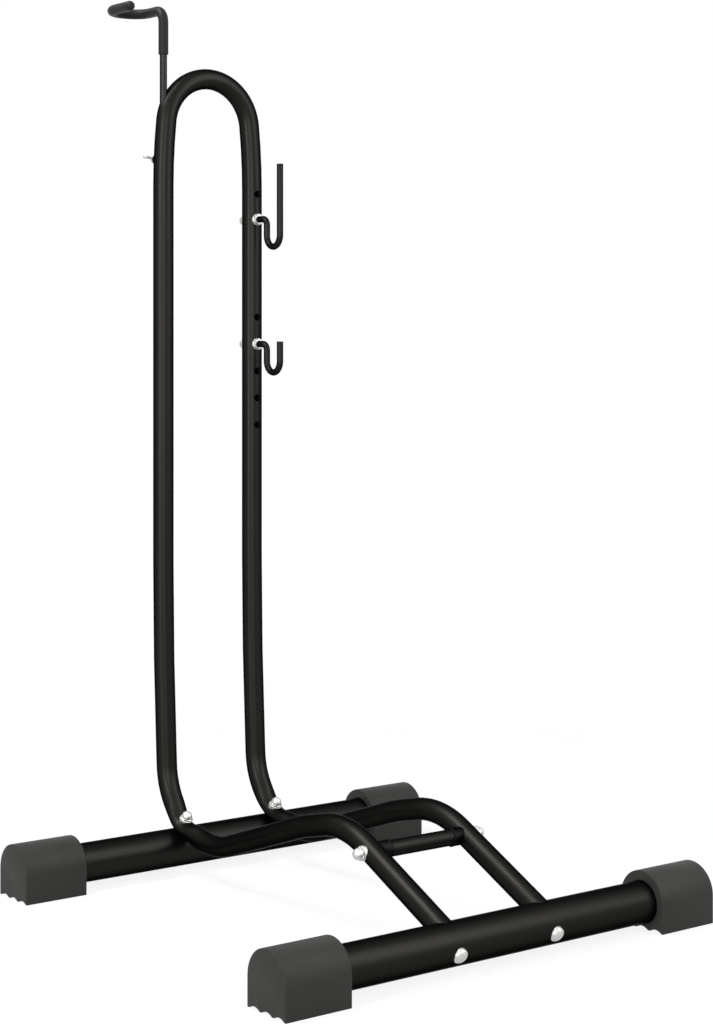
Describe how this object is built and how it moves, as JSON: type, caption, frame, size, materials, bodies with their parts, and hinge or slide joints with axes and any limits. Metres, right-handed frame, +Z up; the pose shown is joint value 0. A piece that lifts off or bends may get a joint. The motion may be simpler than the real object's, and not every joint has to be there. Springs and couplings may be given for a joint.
{
  "type": "floor bike rack",
  "caption": "Upright floor bike rack: a bent tube hoop and wheel rails bolted to two base tubes on moulded feet, with an adjustable top hook and J hooks.",
  "frame": {"origin": "on the floor, under the middle of the part's bounding box", "axes": "+Z up; -Y is the front, where the wheel rolls in between the rails; +X is to the right of someone facing the rack from the front, along the base tubes"},
  "size_m": [0.64, 0.7174, 1.1753],
  "materials": {
    "powder_coat": "black semi-gloss powder coat on steel tube",
    "foot_moulding": "dark grey moulded plastic with a fine grain",
    "zinc": "bright zinc-plated steel",
    "rubber_sleeve": "soft black rubber sleeve, slightly glossy",
    "black_nylon": "black nylon"
  },
  "bodies": {
    "stand": {"upright_frame": "powder_coat", "rear_base_tube": "powder_coat", "front_base_tube": "powder_coat", "foot_rear_left": "foot_moulding", "foot_rear_right": "foot_moulding", "foot_front_left": "foot_moulding", "foot_front_right": "foot_moulding", "rear_bolt_left": "zinc", "rear_bolt_right": "zinc", "rear_cap_nut_left": "zinc", "rear_cap_nut_right": "zinc", "front_bolt_left": "zinc", "front_bolt_right": "zinc", "rail_plug_left": "black_nylon", "rail_plug_right": "black_nylon", "cross_collar_left": "black_nylon", "cross_collar_right": "black_nylon", "cross_cap_nut_left": "zinc", "cross_cap_nut_right": "zinc", "cross_bar": "powder_coat", "cross_rod": "zinc", "clamp_boss": "powder_coat", "upper_hook_lock_nut": "zinc", "upper_hook_cap_nut": "zinc", "lower_hook_lock_nut": "zinc", "lower_hook_cap_nut": "zinc"},
    "guide": {"rod_guide": "black_nylon"},
    "top_hook": {"hook_rod": "powder_coat", "hook_sleeve": "rubber_sleeve"},
    "wing_bolt": {"wing_bolt": "zinc"},
    "upper_hook": {"upper_j_hook": "powder_coat"},
    "lower_hook": {"lower_j_hook": "powder_coat"}
  },
  "joints": [
    {"name": "hook_height", "type": "slide", "parent": "stand", "child": "guide", "axis": [0, 0, 1], "range_m": [-0.045, 0.1]},
    {"name": "hook_swivel", "type": "hinge", "parent": "guide", "child": "top_hook", "pos_m": [-0.0727, 0.29062, 0.9], "axis": [0, 0, 1], "continuous": true},
    {"name": "wing_bolt_turn", "type": "hinge", "parent": "stand", "child": "wing_bolt", "pos_m": [-0.0727, 0.29062, 0.965], "axis": [0, 1, 0], "range_deg": [0, 360]},
    {"name": "upper_hook_swing", "type": "hinge", "parent": "stand", "child": "upper_hook", "pos_m": [0.0727, 0.29062, 0.8865], "axis": [0, 1, 0], "range_deg": [-90, 90]},
    {"name": "lower_hook_swing", "type": "hinge", "parent": "stand", "child": "lower_hook", "pos_m": [0.0727, 0.29062, 0.712], "axis": [0, 1, 0], "range_deg": [-90, 90]}
  ]
}
